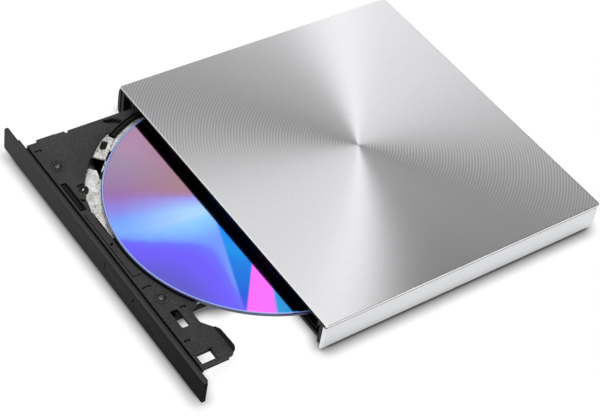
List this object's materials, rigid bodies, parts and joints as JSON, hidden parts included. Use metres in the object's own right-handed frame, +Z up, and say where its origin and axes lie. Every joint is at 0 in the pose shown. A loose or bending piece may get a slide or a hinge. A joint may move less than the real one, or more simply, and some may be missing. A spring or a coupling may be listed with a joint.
{
  "type": "external optical disc drive",
  "caption": "Slim external disc writer: ring-finished metal plate over a silver shell, dark bezel with eject button, and a sliding tray that carries a disc on a spindle.",
  "frame": {"origin": "on the desk plane under the middle of the object as it stands with its tray partly out", "axes": "+Z up, +X along the front bezel towards its right end as seen from the front, -Y towards the front, where the tray comes out"},
  "size_m": [0.1424, 0.1844, 0.0139],
  "materials": {
    "ring_finish_silver": "concentric ring finish",
    "shell_silver": "satin silver",
    "black_plastic": "fine grain",
    "bezel_black": "satin",
    "black_rubber": "matte",
    "zinc_sheet": "zinc plated sheet",
    "bright_steel": "bright",
    "board_green": "lacquered circuit board",
    "chip_black": "moulded",
    "disc_violet": "iridescent recording side",
    "lens_blue": "clear coated lens",
    "flex_amber": "flexible film cable"
  },
  "bodies": {
    "housing": {"top_plate": "ring_finish_silver", "housing_shell": "shell_silver", "inner_frame": "black_plastic", "foot_front_left": "black_rubber", "foot_front_right": "black_rubber", "foot_rear_left": "black_rubber", "foot_rear_right": "black_rubber", "frame_screw_front_left": "bright_steel", "frame_screw_front_right": "bright_steel", "frame_screw_rear_left": "bright_steel", "frame_screw_rear_right": "bright_steel", "bridge_board": "board_green", "bridge_chip": "chip_black", "board_connector": "chip_black", "usb_socket": "bright_steel", "usb_tongue": "chip_black", "drive_case": "zinc_sheet", "drive_cover": "zinc_sheet", "outer_rail_left": "zinc_sheet", "outer_rail_right": "zinc_sheet", "main_board": "board_green", "controller_chip": "chip_black", "drive_connector": "chip_black", "lock_pin": "bright_steel"},
    "tray_unit": {"tray": "black_plastic", "front_bezel": "bezel_black", "tray_bottom_cover": "zinc_sheet", "tray_screw_left": "bright_steel", "tray_screw_right": "bright_steel", "switch_board": "board_green", "eject_switch": "chip_black", "eject_solenoid": "chip_black", "latch_spring": "bright_steel", "ejector_spring": "bright_steel", "flex_cable": "flex_amber", "chassis_plate": "zinc_sheet", "grommet_1": "black_rubber", "grommet_2": "black_rubber", "grommet_3": "black_rubber", "spindle_motor": "chip_black", "guide_rod_1": "bright_steel", "guide_rod_2": "bright_steel", "sled_motor": "chip_black"},
    "rail_left": {"slider_rail_left": "zinc_sheet"},
    "rail_right": {"slider_rail_right": "zinc_sheet"},
    "button": {"eject_button": "bezel_black"},
    "spindle": {"spindle_hub": "black_plastic", "turntable_ring": "black_rubber", "clamp_ball_1": "bright_steel", "clamp_ball_2": "bright_steel", "clamp_ball_3": "bright_steel", "disc": "disc_violet"},
    "pickup": {"pickup_body": "black_plastic", "pickup_lens": "lens_blue"},
    "sled_screw": {"lead_screw": "bright_steel"},
    "latch": {"latch_lever": "black_plastic"},
    "plunger": {"ejector_plunger": "black_plastic"}
  },
  "joints": [
    {"name": "tray_slide", "type": "slide", "parent": "housing", "child": "tray_unit", "axis": [0, -1, 0], "range_m": [-0.049, 0.081]},
    {"name": "rail_left_slide", "type": "slide", "parent": "housing", "child": "rail_left", "axis": [0, -1, 0], "range_m": [-0.0245, 0.0405]},
    {"name": "rail_right_slide", "type": "slide", "parent": "housing", "child": "rail_right", "axis": [0, -1, 0], "range_m": [-0.0245, 0.0405]},
    {"name": "button_press", "type": "slide", "parent": "tray_unit", "child": "button", "axis": [0, 1, 0], "range_m": [0, 0.0004], "stiffness_N_per_m": 1500},
    {"name": "disc_spin", "type": "hinge", "parent": "tray_unit", "child": "spindle", "pos_m": [0.0015, -0.02225, 0.008], "axis": [0, 0, 1], "continuous": true},
    {"name": "pickup_slide", "type": "slide", "parent": "tray_unit", "child": "pickup", "axis": [-0.7071, -0.7071, 0], "range_m": [-0.016, 0.016]},
    {"name": "lead_screw_turn", "type": "hinge", "parent": "tray_unit", "child": "sled_screw", "pos_m": [-0.02183, -0.02154, 0.00475], "axis": [-0.7071, -0.7071, 0], "range_deg": [-1921, 1921]},
    {"name": "latch_swing", "type": "hinge", "parent": "tray_unit", "child": "latch", "pos_m": [0.0473, -0.0807, 0.0055], "axis": [0, 0, 1], "range_deg": [0, 15], "stiffness_Nm_per_rad": 0.0005},
    {"name": "plunger_press", "type": "slide", "parent": "tray_unit", "child": "plunger", "axis": [0, -1, 0], "range_m": [0, 0.0023], "stiffness_N_per_m": 200}
  ],
  "couplings": [
    {"joint": "rail_left_slide", "follows": "tray_slide", "ratio": 0.5},
    {"joint": "rail_right_slide", "follows": "tray_slide", "ratio": 0.5},
    {"joint": "lead_screw_turn", "follows": "pickup_slide", "rad_per_m": 2094.4}
  ]
}
